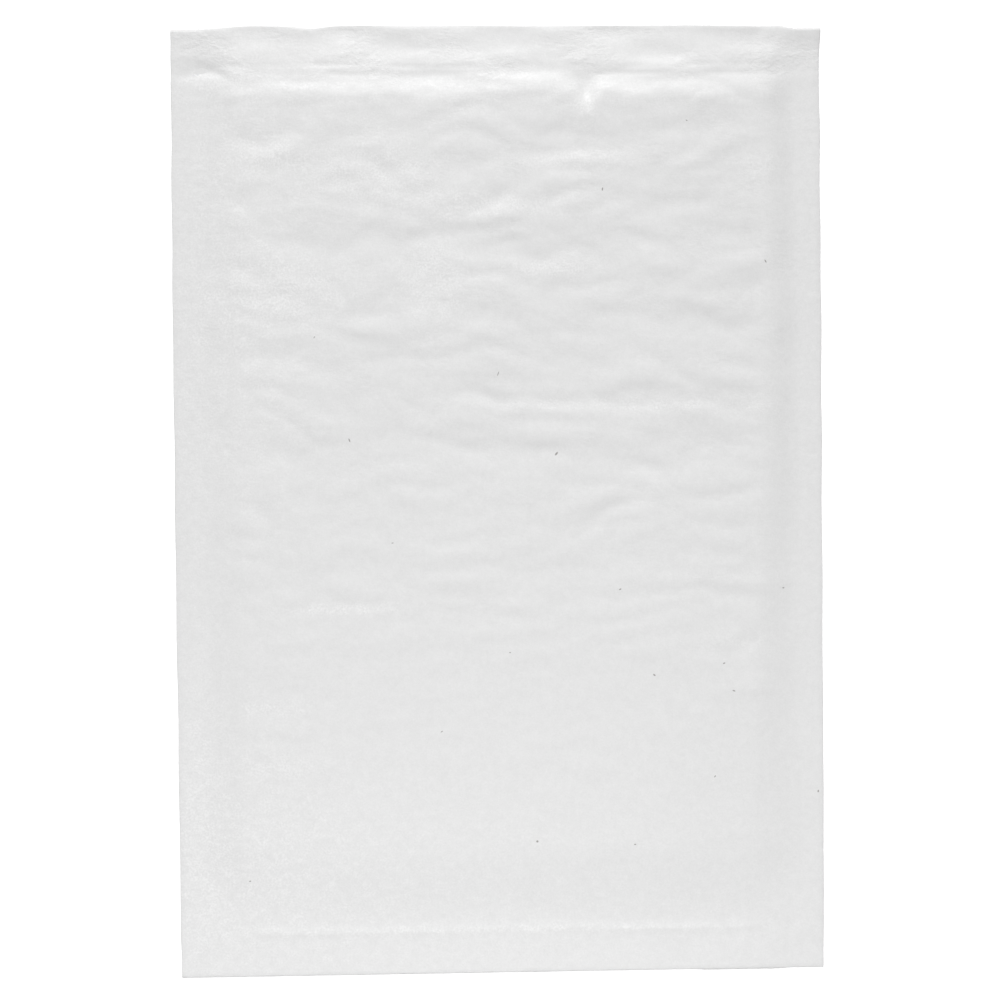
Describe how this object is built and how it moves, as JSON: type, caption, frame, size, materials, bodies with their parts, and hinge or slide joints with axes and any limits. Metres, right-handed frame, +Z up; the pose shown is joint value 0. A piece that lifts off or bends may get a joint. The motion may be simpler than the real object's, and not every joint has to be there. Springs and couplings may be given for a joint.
{
  "type": "padded envelope",
  "caption": "Flat padded mailing envelope, white kraft paper lined with bubble film, lying address side up with its flap folded behind.",
  "frame": {"origin": "on the surface the envelope lies on, under the middle of its outline", "axes": "+X across the width, +Y along the length towards the mouth, +Z up out of the address side"},
  "size_m": [0.24, 0.3519, 0.007],
  "materials": {
    "white_kraft": "machine-glazed white kraft paper, slightly mottled",
    "clear_film": "clear bubble film",
    "hot_melt": "pressure-sensitive hot-melt glue",
    "liner_paper": "siliconised release paper, smooth"
  },
  "bodies": {
    "root": {"outer_paper": "white_kraft", "bubble_film_bag": "clear_film", "flap_glue_strip": "hot_melt", "release_liner": "liner_paper"}
  },
  "joints": []
}
